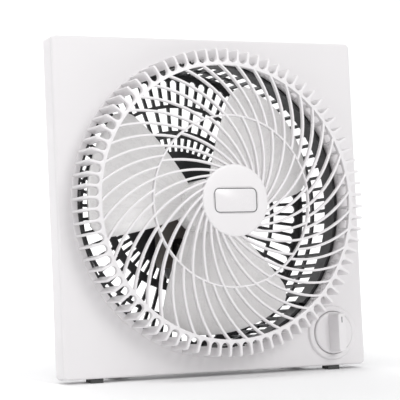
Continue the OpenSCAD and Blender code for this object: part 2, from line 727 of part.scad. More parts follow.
front_panel();
front_grille();
grille_comb();
hub_badge();
rear_shell();
rear_guard();
left_leg();
right_leg();
front_feet();
rear_feet();
fan_blade();
blade_nut();
motor_shaft();
rotor_core();
stator_core();
stator_coil();
coil_bobbin();
thermal_fuse();
front_bracket();
rear_bracket();
front_bushing();
rear_bushing();
thrust_washers();
motor_screws();
panel_screws();
guard_screws();
leg_screws();
speed_knob();
switch_body();
switch_spindle();
switch_nut();
switch_terminals();
cord_grommet();
motor_lead();
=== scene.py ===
"""Looks of a table-top box fan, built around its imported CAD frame."""
import json
import math

import bmesh
import bpy
from mathutils import Matrix, Vector


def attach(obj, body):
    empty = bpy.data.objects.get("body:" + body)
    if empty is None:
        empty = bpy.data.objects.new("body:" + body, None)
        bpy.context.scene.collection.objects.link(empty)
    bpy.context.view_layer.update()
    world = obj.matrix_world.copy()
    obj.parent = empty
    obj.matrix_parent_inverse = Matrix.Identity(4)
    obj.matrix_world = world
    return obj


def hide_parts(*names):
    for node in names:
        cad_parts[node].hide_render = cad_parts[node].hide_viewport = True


bl_info = {
    "name": "Box fan",
    "version": (1, 0, 0),
    "blender": (4, 5, 0),
    "location": "3D View > Sidebar > Box fan",
    "description": "Builds the visible pieces of a table-top box fan",
    "category": "Object",
}

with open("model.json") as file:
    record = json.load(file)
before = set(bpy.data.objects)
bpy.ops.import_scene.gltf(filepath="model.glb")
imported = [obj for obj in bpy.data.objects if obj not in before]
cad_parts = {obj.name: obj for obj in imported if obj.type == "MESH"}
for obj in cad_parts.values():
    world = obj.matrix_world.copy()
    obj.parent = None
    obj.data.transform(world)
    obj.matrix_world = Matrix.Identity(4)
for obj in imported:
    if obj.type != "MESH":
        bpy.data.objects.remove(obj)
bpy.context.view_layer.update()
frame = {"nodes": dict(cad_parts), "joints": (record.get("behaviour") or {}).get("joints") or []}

# Pieces are drawn in millimetres in the panel's own plane (x across, y up from the panel's lower
# edge, z forwards) and then laid back into the frame, in metres.
SPIN = next(joint for joint in frame["joints"] if joint["name"] == "fan_spin")
LEAN = math.asin(SPIN["axis"][2])
AXIS_UP = 150.0
AXIS_BACK = -40.0
TILT = Matrix.Rotation(math.pi / 2 - LEAN, 4, "X")
MILLI = Matrix.Scale(0.001, 4)
BASE = Vector(SPIN["pos_m"]) - (TILT @ MILLI) @ Vector((0, AXIS_UP, AXIS_BACK))
PANEL = Matrix.Translation(BASE) @ TILT @ MILLI
HUB = PANEL @ Matrix.Translation((0, AXIS_UP, 0))
TURN = 2 * math.pi


def mm(metres):
    """A length of the settings, in the millimetres that pieces are drawn in."""
    return metres * 1000


def length(name, about, value):
    return bpy.props.FloatProperty(
        name=name, description=about, default=value, min=0, unit="LENGTH", subtype="DISTANCE")


def angle(name, about, degrees):
    return bpy.props.FloatProperty(
        name=name, description=about, default=math.radians(degrees), unit="ROTATION", subtype="ANGLE")


def colour(name, about, value):
    return bpy.props.FloatVectorProperty(
        name=name, description=about, default=value, min=0, max=1, size=3, subtype="COLOR")


def count(name, about, value):
    return bpy.props.IntProperty(name=name, description=about, default=value, min=1)


def factor(name, about, value):
    return bpy.props.FloatProperty(
        name=name, description=about, default=value, min=0, max=1, subtype="FACTOR")


# ---- Sizes and colours ----

class PanelSettings(bpy.types.PropertyGroup):
    """The square front panel, its back and its feet."""
    width: length("Width", "Width of the square panel", 0.3)
    depth: length("Depth", "Depth of the panel's side", 0.0185)
    wall: length("Wall", "Thickness of the moulded wall", 0.0024)
    corner: length("Corner", "Radius of the panel's corners", 0.005)
    edge: length("Edge", "Radius of the softened front edge", 0.0022)
    opening: length("Opening", "Radius of the round opening", 0.134)
    white: colour("White", "Colour of the white mouldings", (0.80, 0.782, 0.792))
    gloss: factor("Roughness", "Roughness of the white mouldings", 0.36)


class GrilleSettings(bpy.types.PropertyGroup):
    """The domed grille of swept ribs and its slotted side wall."""
    crown: length("Crown", "Height of the dome above the panel", 0.0456)
    sphere: length("Sphere", "Radius of the dome's sphere", 0.64)
    hub: length("Hub", "Radius of the hub disc", 0.032)
    middle: length("Middle ring", "Radius of the middle ring", 0.076)
    middle_width: length("Middle width", "Width of the middle ring", 0.0018)
    outer: length("Outer ring", "Radius of the outer ring", 0.123)
    outer_width: length("Outer width", "Width of the outer ring", 0.0026)
    rib_width: length("Rib width", "Thickness of a rib", 0.0021)
    rib_depth: length("Rib depth", "Depth of a rib", 0.0045)
    inner_ribs: count("Inner ribs", "Ribs inside the middle ring", 30)
    outer_ribs: count("Outer ribs", "Ribs outside the middle ring", 45)
    wall_radius: length("Wall radius", "Radius of the side wall", 0.137)
    fin_depth: length("Fin depth", "Radial depth of a fin", 0.008)
    fins: count("Fins", "Fins in the side wall", 80)
    fin_width: length("Fin width", "Thickness of a fin", 0.0023)
    wall_foot: length("Wall foot", "Radial depth of the side wall's foot ring", 0.005)
    rib_arc: length("Rib arc", "Radius of the arc that a rib follows", 0.1093)
    rib_offset: length("Rib offset", "Distance of that arc's centre from the fan's axis", 0.0886)
    rib_turn: angle("Rib turn", "Where the first rib crosses the middle ring", 20.4)
    badge_width: length("Badge width", "Width of the badge", 0.0425)
    badge_height: length("Badge height", "Height of the badge", 0.0226)
    badge_corner: length("Badge corner", "Reach of the badge's rounded corners", 0.0055)
    badge_outline: colour("Badge outline", "Thin line around the blank badge", (0.09, 0.095, 0.1))


class PropellerSettings(bpy.types.PropertyGroup):
    """The three-blade propeller."""
    radius: length("Radius", "Radius at the blades' tips", 0.117)
    hub: length("Hub", "Radius of the propeller's hub", 0.024)
    blades: count("Blades", "Number of blades", 3)
    thickness: length("Thickness", "Thickness of a blade", 0.0018)
    back: length("Back", "Distance of the hub's back behind the panel's face", 0.032)
    depth: length("Depth", "Depth of the hub", 0.022)
    root_span: angle("Root span", "Angle that a blade covers at its root", 86)
    tip_span: angle("Tip span", "Angle that a blade covers at its tip", 66)
    sweep: angle("Sweep", "Turn of the blade's tip against its root", 2)
    turn: angle("Turn", "Direction of the first blade", 159)
    grey: colour("Blade colour", "Colour of the blades", (0.90, 0.89, 0.885))


class KnobSettings(bpy.types.PropertyGroup):
    """The speed knob and the collar around it."""
    across: length("Across", "Distance of the knob from the panel's middle", 0.1158)
    up: length("Up", "Height of the knob above the panel's lower edge", 0.03)
    radius: length("Radius", "Radius of the knob's disc", 0.0193)
    height: length("Height", "Height of the grip bar", 0.02)
    collar: length("Collar", "Radius of the raised collar", 0.0252)
    gap: length("Gap", "Gap between the knob and the collar", 0.0005)
    grip: length("Grip", "Width of the grip bar where it meets the disc", 0.011)
    grip_front: length("Grip front", "Width of the grip bar at its front", 0.0074)


class MotorSettings(bpy.types.PropertyGroup):
    """The guard behind the propeller and the motor in it."""
    guard: colour("Guard colour", "Colour of the basket guard", (0.018, 0.018, 0.02))
    wire: length("Wire pitch", "Pitch of the winding's visible turns", 0.0011)
    copper: colour("Copper", "Colour of the enamelled wire", (0.52, 0.22, 0.075))
    sheets: colour("Laminations", "Colour of the stamped sheets", (0.2, 0.185, 0.17))


class StageSettings(bpy.types.PropertyGroup):
    """The floor, the lights and the camera."""
    azimuth: angle("Azimuth", "Direction of the camera around the fan", -26.4)
    elevation: angle("Elevation", "Height of the camera's direction", 1.4)
    distance: length("Distance", "Distance of the camera", 1.608)
    lens: bpy.props.FloatProperty(
        name="Lens", description="Focal length on a 36 mm sensor", default=162.3, min=1, unit="CAMERA")
    shift_across: bpy.props.FloatProperty(
        name="Shift across", description="Shift of the picture across, in picture widths", default=-0.0522)
    shift_up: bpy.props.FloatProperty(
        name="Shift up", description="Shift of the picture upwards, in picture widths", default=0.0098)
    sky: bpy.props.FloatProperty(
        name="Sky", description="Strength of the light from all around", default=0.52, min=0)
    floor: colour("Floor", "Colour of the floor and the backdrop", (0.94, 0.94, 0.945))


# ---- Shaders ----

class Wire:
    """An output of a finish's node that sums can be written with."""

    def __init__(self, finish, socket):
        self.finish = finish
        self.socket = socket

    def sum(self, operation, left, right=0.0):
        return self.finish.add("ShaderNodeMath", {"operation": operation}, {0: left, 1: right})

    def __add__(self, other):
        return self.sum("ADD", self, other)

    __radd__ = __add__

    def __sub__(self, other):
        return self.sum("SUBTRACT", self, other)

    def __mul__(self, other):
        return self.sum("MULTIPLY", self, other)

    __rmul__ = __mul__

    def __truediv__(self, other):
        return self.sum("DIVIDE", self, other)

    def __pow__(self, other):
        return self.sum("POWER", self, other)

    def wave(self):
        """A smooth wave between 0 and 1, once for every whole step of the value."""
        return self.sum("SINE", self * TURN) * 0.5 + 0.5

    def above(self, limit):
        return self.sum("GREATER_THAN", self, limit)

    def angle_to(self, other):
        return self.sum("ARCTAN2", self, other)


class Finish:
    """A procedural material under construction."""

    def __init__(self, name):
        self.material = bpy.data.materials.new(name)
        self.material.use_nodes = True
        self.tree = self.material.node_tree
        self.shader = self.tree.nodes["Principled BSDF"]

    def add(self, kind, settings, sockets, output=0):
        """Adds a node, sets it up, then feeds its sockets with values or wires."""
        node = self.tree.nodes.new(kind)
        for key, value in settings.items():
            setattr(node, key, value)
        for key, value in sockets.items():
            self.feed(node.inputs[key], value)
        return Wire(self, node.outputs[output])

    def feed(self, socket, value):
        if isinstance(value, Wire):
            self.tree.links.new(value.socket, socket)
        else:
            socket.default_value = value

    def place(self):
        """Object coordinates turned into the panel's plane, centred on the fan's axis, in metres."""
        return self.add("ShaderNodeMapping", {"vector_type": "TEXTURE"}, {
            "Vector": self.add("ShaderNodeTexCoord", {}, {}, "Object"),
            "Location": HUB.translation, "Rotation": (math.pi / 2 - LEAN, 0, 0)})

    def split(self, vector):
        node = self.add("ShaderNodeSeparateXYZ", {}, {0: vector}).socket.node
        return [Wire(self, output) for output in node.outputs]

    def join(self, x, y, z):
        return self.add("ShaderNodeCombineXYZ", {}, {0: x, 1: y, 2: z})

    def noise(self, place, scale, detail=2.0):
        return self.add("ShaderNodeTexNoise", {}, {"Vector": place, "Scale": scale, "Detail": detail})

    def cells(self, place, scale):
        return self.add("ShaderNodeTexVoronoi", {}, {"Vector": place, "Scale": scale}, "Color")

    def mix(self, share, first, second):
        first, second = [
            value if isinstance(value, Wire) else (*value, 1.0) for value in (first, second)]
        return self.add("ShaderNodeMix", {"data_type": "RGBA"}, {0: share, 6: first, 7: second}, 2)

    def look(self, **sockets):
        """Feeds the surface shader, with spaces in socket names written as underscores."""
        for key, value in sockets.items():
            self.feed(self.shader.inputs[key.replace("_", " ")], value)
        return self

    def relief(self, height, depth, strength=1.0):
        """Raises the surface by a height from 0 to 1 times a depth in metres."""
        return self.look(Normal=self.add(
            "ShaderNodeBump", {}, {"Height": height, "Distance": depth, "Strength": strength}))


def shade(tone, share):
    return tuple(min(1.0, part * share) for part in tone)


def moulded(name, tone, roughness, grain, depth, mottle=0.03, sheen=0.0):
    """Injection-moulded plastic: a fine spark-eroded grain, faint clouding and flow."""
    finish = Finish(name)
    place = finish.place()
    cloud = finish.noise(place, 11, 3)
    flow = finish.noise(place, 55, 2)
    pits = finish.noise(place, grain, 3)
    tint = finish.mix(cloud, shade(tone, 1 - mottle), shade(tone, 1 + mottle))
    finish.look(Base_Color=tint, Coat_Weight=sheen, Coat_Roughness=0.2,
                Roughness=roughness + (pits - 0.5) * 0.14 + (flow - 0.5) * 0.1)
    finish.relief(pits + flow * 0.6, depth, 0.5)
    return finish.material


def blade_plastic(name, tone):
    """Glossy plastic whose flow lines run out from the hub, with a little dust spread over it."""
    finish = Finish(name)
    x, y, z = finish.split(finish.place())
    reach = (x * x + y * y) ** 0.5
    flow = finish.noise(finish.join(y.angle_to(x) * 9, reach * 14, z * 10), 1.6, 3)
    dust = finish.noise(finish.place(), 420, 2)
    tint = finish.mix(flow, shade(tone, 0.95), shade(tone, 1.05))
    finish.look(Base_Color=finish.mix(dust.above(0.68) * 0.35, tint, shade(tone, 0.86)),
                Roughness=0.24 + (flow - 0.5) * 0.12 + dust * 0.08, Coat_Weight=0.2, Coat_Roughness=0.12)
    finish.relief(flow + dust * 0.15, 0.00025, 0.5)
    return finish.material


def rubber(name, tone):
    """Matt rubber with a dry bloom."""
    finish = Finish(name)
    place = finish.place()
    bloom = finish.noise(place, 160, 4)
    finish.look(Base_Color=finish.mix(bloom, tone, shade(tone, 1.9)), Roughness=0.72 + (bloom - 0.5) * 0.2)
    finish.relief(finish.noise(place, 1500, 2), 0.00006, 0.7)
    return finish.material


def metal(name, tone, roughness, stretch=(1, 1, 1), scale=900, spangle=0.0):
    """Bare or plated metal: tool marks drawn out along one direction, and zinc spangle if asked."""
    finish = Finish(name)
    x, y, z = finish.split(finish.place())
    marks = finish.noise(finish.join(x * stretch[0], y * stretch[1], z * stretch[2]), scale, 2)
    stain = finish.noise(finish.place(), 70, 3)
    tint = finish.mix(stain, shade(tone, 0.82), shade(tone, 1.08))
    if spangle:
        flake = finish.cells(finish.place(), 320)
        tint = finish.mix(spangle, tint, flake)
        tint = finish.mix(0.75, tint, tone)
    finish.look(Base_Color=tint, Metallic=1.0,
                Roughness=roughness + (marks - 0.5) * 0.2 + (stain - 0.5) * 0.12)
    finish.relief(marks, 0.00003, 0.6)
    return finish.material


def stamped_sheets(name, tone):
    """A stack of stamped sheets under varnish: one line for each sheet on the stack's sides."""
    finish = Finish(name)
    thickness = 0.0005
    sheet = (finish.split(finish.place())[2] / thickness).wave()
    rust = finish.noise(finish.place(), 120, 4)
    tint = finish.mix(sheet, shade(tone, 0.55), shade(tone, 1.15))
    tint = finish.mix(rust.above(0.62) * 0.4, tint, (0.16, 0.09, 0.05))
    finish.look(Base_Color=tint, Metallic=0.55, Roughness=0.5 + (rust - 0.5) * 0.3)
    finish.relief(sheet, 0.00012, 0.8)
    return finish.material


def enamelled_wire(name, tone):
    """Copper wire under clear enamel, a little uneven from turn to turn."""
    finish = Finish(name)
    x, y, z = finish.split(finish.place())
    turns = finish.noise(finish.join(x * 30, y * 0.8, z * 0.8), 30, 2)
    tint = finish.mix(turns, shade(tone, 0.6), shade(tone, 1.35))
    finish.look(Base_Color=tint, Metallic=0.85, Roughness=0.3 + (turns - 0.5) * 0.2,
                Coat_Weight=0.6, Coat_Roughness=0.1)
    return finish.material


def finishes(scene):
    """Every finish of the fan, made once and looked up by name."""
    if bpy.data.materials.get("white_moulding"):
        return bpy.data.materials
    white = tuple(scene.fan_panel.white)
    gloss = scene.fan_panel.gloss
    moulded("white_moulding", white, gloss, 1400, 0.00004)
    moulded("white_grille", shade(white, 1.03), gloss - 0.04, 1700, 0.00003)
    moulded("badge_plate", shade(white, 1.02), gloss - 0.1, 2400, 0.00001)
    moulded("badge_line", tuple(scene.fan_grille.badge_outline), 0.45, 2000, 0.00001)
    moulded("knob_mark", (0.2, 0.2, 0.21), 0.5, 2000, 0.00002)
    moulded("guard_moulding", tuple(scene.fan_motor.guard), 0.42, 1100, 0.00007, 0.2)
    moulded("nut_moulding", (0.022, 0.022, 0.024), 0.38, 1300, 0.00005, 0.15)
    moulded("black_moulding", (0.012, 0.012, 0.012), 0.34, 1500, 0.00004, 0.2)
    moulded("nylon", (0.68, 0.66, 0.6), 0.4, 1600, 0.00003)
    moulded("fuse_sleeve", (0.62, 0.57, 0.4), 0.55, 900, 0.00006, 0.1)
    blade_plastic("blade_plastic", tuple(scene.fan_propeller.grey))
    rubber("rubber", (0.012, 0.012, 0.013))
    rubber("lead_insulation", (0.018, 0.018, 0.02))
    metal("turned_steel", (0.52, 0.52, 0.54), 0.24, (1, 1, 14), 700)
    metal("zinc_sheet", (0.5, 0.5, 0.5), 0.38, (1, 4, 4), 500, 0.6)
    metal("zinc_screw", (0.55, 0.55, 0.57), 0.3, (1, 1, 6), 1200)
    metal("tinned_brass", (0.62, 0.6, 0.55), 0.3, (5, 1, 1), 900)
    metal("cast_rotor", (0.56, 0.56, 0.58), 0.45, (1, 1, 1), 400)
    metal("sintered_bronze", (0.42, 0.27, 0.12), 0.5, (1, 1, 1), 1500)
    stamped_sheets("stamped_sheets", tuple(scene.fan_motor.sheets))
    enamelled_wire("enamelled_wire", tuple(scene.fan_motor.copper))
    return bpy.data.materials


# ---- Making pieces ----

# Edges that bend by more degrees than this look sharp
SHARP = 35


def softened(points, radius, steps=3):
    """A closed outline with each corner rounded, as far as its sides allow."""
    outline = []
    for index, point in enumerate(points):
        here = Vector(point)
        to_last = Vector(points[index - 1]) - here
        to_next = Vector(points[(index + 1) % len(points)]) - here
        reach = min(radius, 0.45 * to_last.length, 0.45 * to_next.length)
        start = here + to_last.normalized() * reach
        end = here + to_next.normalized() * reach
        for step in range(steps + 1):
            share = step / steps
            outline.append(tuple(
                start * (1 - share) ** 2 + here * 2 * share * (1 - share) + end * share ** 2))
    return outline


def lathe(bm, outline, steps=96, sweep=TURN, closed=True):
    """Spins an outline of (radius, height) points around the z axis."""
    verts = [bm.verts.new((radius, 0, height)) for radius, height in outline]
    pairs = list(zip(verts, verts[1:]))
    if closed:
        pairs.append((verts[-1], verts[0]))
    edges = [bm.edges.new(pair) for pair in pairs]
    whole = abs(sweep - TURN) < 1e-6
    bmesh.ops.spin(bm, geom=verts + edges, cent=(0, 0, 0), axis=(0, 0, 1), angle=sweep, steps=steps,
                   use_merge=whole, use_normal_flip=False)
    return tidy(bm)


def tidy(bm, distance=1e-4):
    """Merges doubles, closes open ends and points every face outwards."""
    bmesh.ops.remove_doubles(bm, verts=bm.verts, dist=distance)
    ends = [edge for edge in bm.edges if edge.is_boundary]
    if ends:
        bmesh.ops.holes_fill(bm, edges=ends, sides=0)
    bmesh.ops.recalc_face_normals(bm, faces=bm.faces)
    return bm


def joined(*parts):
    """One bmesh out of several, which are used up."""
    whole = bmesh.new()
    for part in parts:
        scratch = bpy.data.meshes.new("scratch")
        part.to_mesh(scratch)
        part.free()
        whole.from_mesh(scratch)
        bpy.data.meshes.remove(scratch)
    return whole


def around(bm, times, first=0.0):
    """Turns a bmesh by first, then repeats it around the z axis."""
    bmesh.ops.rotate(bm, verts=bm.verts, cent=(0, 0, 0), matrix=Matrix.Rotation(first, 3, "Z"))
    unit = bm.verts[:] + bm.edges[:] + bm.faces[:]
    for index in range(1, times):
        copy = bmesh.ops.duplicate(bm, geom=unit)["geom"]
        verts = [item for item in copy if isinstance(item, bmesh.types.BMVert)]
        bmesh.ops.rotate(bm, verts=verts, cent=(0, 0, 0),
                         matrix=Matrix.Rotation(index * TURN / times, 3, "Z"))
    return bm


def rounded_off(bm, edges, radius, segments=2):
    bmesh.ops.bevel(bm, geom=list(edges), offset=radius, offset_type="OFFSET", affect="EDGES",
                    segments=segments, profile=0.5, material=-1, clamp_overlap=True)
    return bm


def sharp(bm, degrees):
    limit = math.radians(degrees)
    return [edge for edge in bm.edges if edge.is_manifold and edge.calc_face_angle(0) > limit]


def plate(outline, low, high):
    """A flat plate with the given outline, between two heights."""
    bm = bmesh.new()
    face = bm.faces.new([bm.verts.new((x, y, low)) for x, y in outline])
    top = bmesh.ops.extrude_face_region(bm, geom=[face], use_keep_orig=True)["geom"]
    bmesh.ops.translate(bm, vec=(0, 0, high - low),
                        verts=[item for item in top if isinstance(item, bmesh.types.BMVert)])
    bmesh.ops.recalc_face_normals(bm, faces=bm.faces)
    return bm


def rectangle(width, height):
    return [(-width / 2, -height / 2), (width / 2, -height / 2),
            (width / 2, height / 2), (-width / 2, height / 2)]


def settle(piece, name, material, body, nodes=(), smooth=SHARP):
    """Names a piece, gives it its finish and hangs it on its body in place of CAD nodes."""
    piece.name = name
    mesh = piece.data
    mesh.shade_smooth()
    mesh.set_sharp_from_angle(angle=math.radians(smooth))
    mesh.materials.clear()
    mesh.materials.append(material)
    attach(piece, body)
    if nodes:
        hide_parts(*nodes)
    return piece


def piece_from(bm, name, place, material, body, nodes=(), smooth=SHARP):
    """Makes a piece of a bmesh drawn in millimetres and lays it in its place."""
    bmesh.ops.transform(bm, matrix=place, verts=bm.verts)
    mesh = bpy.data.meshes.new(name)
    bm.to_mesh(mesh)
    bm.free()
    piece = bpy.data.objects.new(name, mesh)
    bpy.context.scene.collection.objects.link(piece)
    return settle(piece, name, material, body, nodes, smooth)


def coat(material, *names):
    """Gives CAD nodes that keep their own shape their finish."""
    for name in names:
        mesh = frame["nodes"][name].data
        mesh.materials.clear()
        mesh.materials.append(material)


def softened_node(name, node, radius, material, body, segments=2):
    """A copy of a CAD node's shape with its sharp edges softened."""
    bm = bmesh.new()
    bm.from_mesh(frame["nodes"][node].data)
    bmesh.ops.remove_doubles(bm, verts=bm.verts, dist=1e-6)
    bmesh.ops.dissolve_limit(bm, angle_limit=math.radians(1), verts=bm.verts, edges=bm.edges,
                             use_dissolve_boundaries=False, delimit=set())
    mesh = bpy.data.meshes.new(name)
    bm.to_mesh(mesh)
    bm.free()
    piece = bpy.data.objects.new(name, mesh)
    bpy.context.scene.collection.objects.link(piece)
    settle(piece, name, material, body, (node,))
    bevel = piece.modifiers.new("soft edges", "BEVEL")
    bevel.width = radius / 1000
    bevel.segments = segments
    bevel.limit_method = "ANGLE"
    bevel.angle_limit = math.radians(SHARP)
    bevel.use_clamp_overlap = True
    bevel.harden_normals = False
    return piece


# ---- Panel ----

class BuildPanel(bpy.types.Operator):
    """Square front panel with its round opening and the collar around the knob"""
    bl_idname = "object.fan_panel"
    bl_label = "Panel"

    def execute(self, context):
        fan, knob = context.scene.fan_panel, context.scene.fan_knob
        width, depth, wall = mm(fan.width), mm(fan.depth), mm(fan.wall)
        bm = plate(softened(rectangle(width, width), mm(fan.corner), 6), -depth, 0)
        bmesh.ops.translate(bm, verts=bm.verts, vec=(0, width / 2, 0))
        front = [edge for edge in sharp(bm, 60) if all(v.co.z > -0.1 for v in edge.verts)]
        rounded_off(bm, front, mm(fan.edge), 4)
        shell = self.hollow(bm, width, depth, wall, mm(fan.opening), knob)
        finish = finishes(context.scene)["white_moulding"]
        piece = piece_from(shell, "panel_front", PANEL, finish, "frame", ("front_panel",), 30)
        piece.modifiers.new("even shading", "WEIGHTED_NORMAL").keep_sharp = True
        return {"FINISHED"}

    def hollow(self, bm, width, depth, wall, opening, knob):
        """Cuts the hollow and the opening out of the block and adds the collar."""
        inside = plate(softened(rectangle(width - 2 * wall, width - 2 * wall), wall, 4), -depth - 5, -wall)
        bmesh.ops.translate(inside, verts=inside.verts, vec=(0, width / 2, 0))
        hole = bmesh.new()
        lathe(hole, [(0, -depth), (opening, -depth), (opening, 5), (0, 5)], 160, closed=False)
        bmesh.ops.translate(hole, verts=hole.verts, vec=(0, AXIS_UP, 0))
        collar = bmesh.new()
        outer, inner = mm(knob.collar), mm(knob.radius) + mm(knob.gap)
        lathe(collar, [(inner, -1), (inner, 2.3), (inner + 0.25, 2.8), (inner + 0.8, 3),
                       (outer - 2.6, 3), (outer - 1.8, 2.9), (outer - 1.1, 2.5), (outer - 0.6, 1.6),
                       (outer - 0.3, 0.6), (outer, 0), (outer, -1)], 96)
        bmesh.ops.translate(collar, verts=collar.verts, vec=(mm(knob.across), mm(knob.up), 0))
        return carved(bm, [inside, hole], [collar])


def carved(block, cutters, additions=()):
    """Cuts closed bmeshes out of a block, then adds others to it."""
    def stand(bm):
        mesh = bpy.data.meshes.new("scratch")
        bm.to_mesh(mesh)
        bm.free()
        thing = bpy.data.objects.new("scratch", mesh)
        bpy.context.scene.collection.objects.link(thing)
        return thing

    base = stand(block)
    helpers = []
    for tools, operation in ((cutters, "DIFFERENCE"), (additions, "UNION")):
        for tool in tools:
            helper = stand(tool)
            helpers.append(helper)
            step = base.modifiers.new("step", "BOOLEAN")
            step.operation = operation
            step.solver = "EXACT"
            step.object = helper
    shape = base.evaluated_get(bpy.context.evaluated_depsgraph_get())
    result = bmesh.new()
    result.from_mesh(shape.data)
    for thing in [base, *helpers]:
        mesh = thing.data
        bpy.data.objects.remove(thing)
        bpy.data.meshes.remove(mesh)
    return result


# ---- Grille ----

class Dome:
    """The grille's dome and the arcs that its ribs follow."""

    def __init__(self, settings):
        self.crown, self.sphere = mm(settings.crown), mm(settings.sphere)
        self.arc, self.offset, self.turn = mm(settings.rib_arc), mm(settings.rib_offset), settings.rib_turn
        self.middle = mm(settings.middle)

    def height(self, radius):
        return self.crown - self.sphere + math.sqrt(self.sphere ** 2 - radius ** 2)

    def lift(self, bm):
        for vert in bm.verts:
            vert.co.z += self.height(math.hypot(vert.co.x, vert.co.y))

    def crossing(self, radius):
        """Angle at the fan's axis between the arc's centre and its crossing of a radius."""
        return math.acos((radius ** 2 + self.offset ** 2 - self.arc ** 2) / (2 * radius * self.offset))

    def along(self, radius):
        """Angle of the same crossing seen from the arc's own centre."""
        across = self.crossing(radius)
        return math.atan2(-radius * math.sin(across), radius * math.cos(across) - self.offset)


class BuildGrille(bpy.types.Operator):
    """Swept ribs with rounded fronts, their middle and outer rings and the hub disc"""
    bl_idname = "object.fan_grille"
    bl_label = "Grille"

    def execute(self, context):
        grille = context.scene.fan_grille
        dome = Dome(grille)
        hub, middle, outer = mm(grille.hub), mm(grille.middle), mm(grille.outer)
        depth = mm(grille.rib_depth)
        parts = [self.ribs(dome, grille, grille.inner_ribs, hub - 1.5, middle, 12),
                 self.ribs(dome, grille, grille.outer_ribs, middle, outer, 10)]
        for radius, width, proud in ((middle, mm(grille.middle_width), -0.7),
                                     (outer, mm(grille.outer_width), 0.05)):
            ring = bmesh.new()
            edge = softened([(radius - width / 2, -depth - 0.3), (radius + width / 2, -depth - 0.3),
                             (radius + width / 2, proud), (radius - width / 2, proud)], 0.8, 4)
            lathe(ring, edge, 128)
            dome.lift(ring)
            parts.append(ring)
        parts.append(self.disc(hub, dome.crown, badge_plan(grille, 0.6, 3)))
        bm = joined(*parts)
        finish = finishes(context.scene)["white_grille"]
        piece_from(bm, "grille_dome", HUB, finish, "frame", ("front_grille",), 40)
        return {"FINISHED"}

    def ribs(self, dome, grille, times, start, end, steps):
        width, depth = mm(grille.rib_width), mm(grille.rib_depth)
        section = softened([(dome.arc - width / 2, -depth), (dome.arc + width / 2, -depth),
                            (dome.arc + width / 2, 0), (dome.arc - width / 2, 0)], 0.85, 3)
        first, last = dome.along(start), dome.along(end)
        bm = bmesh.new()
        lathe(bm, section, steps, last - first)
        bmesh.ops.rotate(bm, verts=bm.verts, cent=(0, 0, 0), matrix=Matrix.Rotation(first, 3, "Z"))
        bmesh.ops.translate(bm, verts=bm.verts, vec=(dome.offset, 0, 0))
        dome.lift(bm)
        return around(bm, times, dome.turn + dome.crossing(dome.middle))

    def disc(self, radius, crown, badge):
        """Hub disc with a softened rim and a shallow recess for the badge."""
        bm = bmesh.new()
        lathe(bm, [(0, crown - 6), (radius - 0.6, crown - 6), (radius, crown - 5.4), (radius, crown - 1.3),
                   (radius - 0.35, crown - 0.5), (radius - 1.1, crown - 0.1), (radius - 2, crown),
                   (0, crown)], 96, closed=False)
        return carved(bm, [plate(badge, crown - 0.8, crown + 2)])


def badge_plan(grille, grow, round_more):
    """The badge's outline, grown on every side and with its corners rounded further."""
    width, height = mm(grille.badge_width) + 2 * grow, mm(grille.badge_height) + 2 * grow
    return softened(rectangle(width, height), mm(grille.badge_corner) + round_more, 6)


class BuildBadge(bpy.types.Operator):
    """Blank badge plate with a thin line around it"""
    bl_idname = "object.fan_badge"
    bl_label = "Badge"

    def execute(self, context):
        grille = context.scene.fan_grille
        crown = mm(grille.crown)
        materials = finishes(context.scene)
        bm = plate(badge_plan(grille, 0, 0), crown - 0.85, crown - 0.05)
        rim = [edge for edge in sharp(bm, 60) if all(vert.co.z > crown - 0.1 for vert in edge.verts)]
        rounded_off(bm, rim, 0.25, 2)
        piece_from(bm, "badge_plate", HUB, materials["badge_plate"], "frame", ("hub_badge",))
        outer = badge_plan(grille, -0.45, -0.45)
        inner = badge_plan(grille, -1.25, -1.25)
        line = carved(plate(outer, crown - 0.3, crown + 0.02), [plate(inner, crown - 1, crown + 1)])
        piece_from(line, "badge_outline", HUB, materials["badge_line"], "frame")
        return {"FINISHED"}


